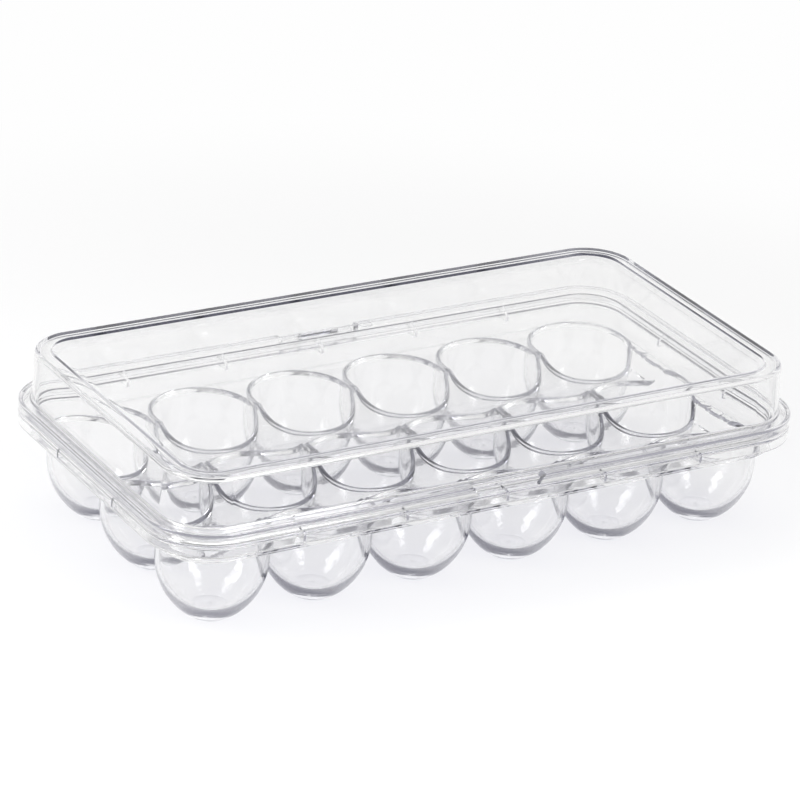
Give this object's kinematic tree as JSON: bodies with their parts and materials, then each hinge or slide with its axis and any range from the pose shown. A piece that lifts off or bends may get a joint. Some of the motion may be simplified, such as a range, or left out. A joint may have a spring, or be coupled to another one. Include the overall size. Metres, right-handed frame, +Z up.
{
  "type": "egg keeper with flip lid",
  "caption": "Clear moulded egg keeper: a tray of round egg cups with valleys between the rows, under a recessed lid that flips up on a rear pin hinge.",
  "frame": {"origin": "centre of the keeper's outline, in the plane that its cups stand on", "axes": "+X along the long side, to the right as seen from the front; +Y to the back, where the hinge is; +Z up"},
  "size_m": [0.3216, 0.1764, 0.0773],
  "materials": {
    "tray_clear": "polished clear moulding",
    "lid_clear": "polished clear moulding",
    "pin_clear": "smooth clear rod"
  },
  "bodies": {
    "tray": {"egg_cup_a1": "tray_clear", "egg_cup_a2": "tray_clear", "egg_cup_a3": "tray_clear", "egg_cup_a4": "tray_clear", "egg_cup_a5": "tray_clear", "egg_cup_a6": "tray_clear", "egg_cup_b1": "tray_clear", "egg_cup_b2": "tray_clear", "egg_cup_b3": "tray_clear", "egg_cup_b4": "tray_clear", "egg_cup_b5": "tray_clear", "egg_cup_b6": "tray_clear", "egg_cup_c1": "tray_clear", "egg_cup_c2": "tray_clear", "egg_cup_c3": "tray_clear", "egg_cup_c4": "tray_clear", "egg_cup_c5": "tray_clear", "egg_cup_c6": "tray_clear", "tray_rim": "tray_clear", "hinge_pin": "pin_clear"},
    "lid": {"lid": "lid_clear"}
  },
  "joints": [
    {"name": "lid_hinge", "type": "hinge", "parent": "tray", "child": "lid", "pos_m": [0, 0.0854, 0.0494], "axis": [-1, 0, 0], "range_deg": [0, 105]}
  ]
}
